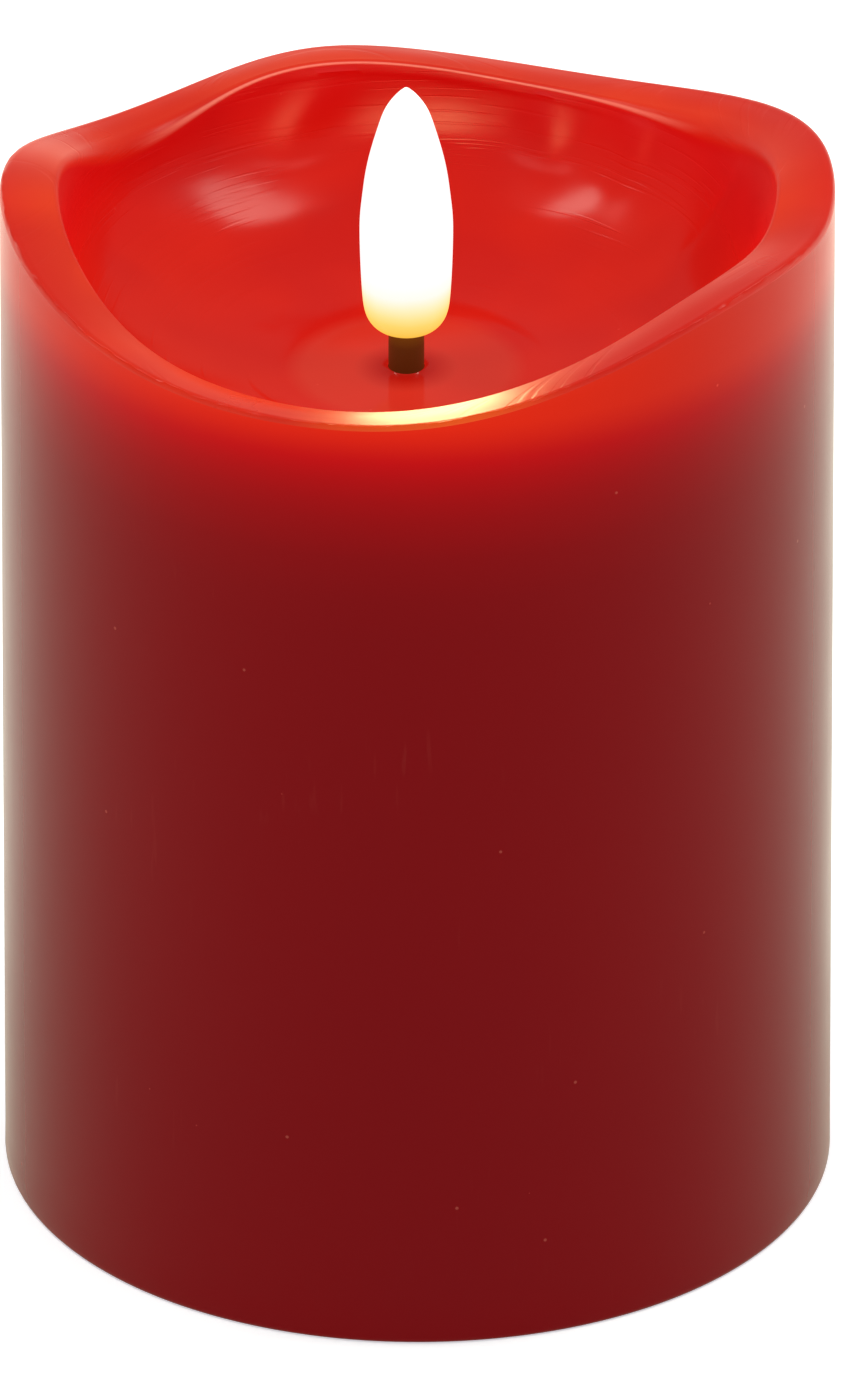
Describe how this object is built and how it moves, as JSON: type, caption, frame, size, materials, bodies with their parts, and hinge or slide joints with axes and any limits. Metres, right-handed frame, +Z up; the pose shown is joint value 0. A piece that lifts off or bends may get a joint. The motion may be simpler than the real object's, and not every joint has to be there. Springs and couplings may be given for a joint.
{
  "type": "flameless candle",
  "caption": "Battery candle: red wax pillar shell with a wavy rim and a lit flame bulb over a melted bowl, battery door and slide switch underneath.",
  "frame": {"origin": "centre of the wax foot on the surface that the candle stands on", "axes": "+Z up, -Y towards the front (the low side of the rim, and the switch underneath), +X to the right"},
  "size_m": [0.075, 0.075, 0.1088],
  "materials": {
    "red_wax": "satin",
    "ivory_plastic": "satin",
    "black_plastic": "matte",
    "grey_plastic": "satin",
    "switch_housing": "matte",
    "board_laminate": "gloss",
    "chip_resin": "matte",
    "plated_steel": "satin",
    "capacitor_sleeve": "gloss",
    "cell_wrap": "satin",
    "wick_black": "matte",
    "milky_flame": "gloss",
    "led_epoxy": "gloss",
    "red_insulation": "satin",
    "black_insulation": "satin"
  },
  "bodies": {
    "candle": {"base_screws": "plated_steel", "battery_base": "black_plastic", "battery_cell_front": "cell_wrap", "battery_cell_rear": "cell_wrap", "battery_wire_negative": "black_insulation", "battery_wire_positive": "red_insulation", "board_resistors": "chip_resin", "board_screws": "plated_steel", "control_board": "board_laminate", "control_chip": "chip_resin", "core_cup": "ivory_plastic", "filter_capacitor": "capacitor_sleeve", "flame_led": "led_epoxy", "flame_lens": "milky_flame", "led_wire_negative": "black_insulation", "led_wire_positive": "red_insulation", "link_contact": "plated_steel", "link_spring": "plated_steel", "negative_contact": "plated_steel", "negative_spring": "plated_steel", "positive_contact": "plated_steel", "switch_body": "switch_housing", "timer_crystal": "plated_steel", "wax_body": "red_wax", "wick_tube": "wick_black"},
    "door": {"battery_door": "black_plastic"},
    "switch": {"switch_knob": "grey_plastic"}
  },
  "joints": [
    {"name": "door_hinge", "type": "hinge", "parent": "candle", "child": "door", "pos_m": [0, -0.01665, 0.00137], "axis": [-1, 0, 0], "range_deg": [0, 90]},
    {"name": "switch_slide", "type": "slide", "parent": "candle", "child": "switch", "axis": [1, 0, 0], "range_m": [0, 0.004]}
  ]
}
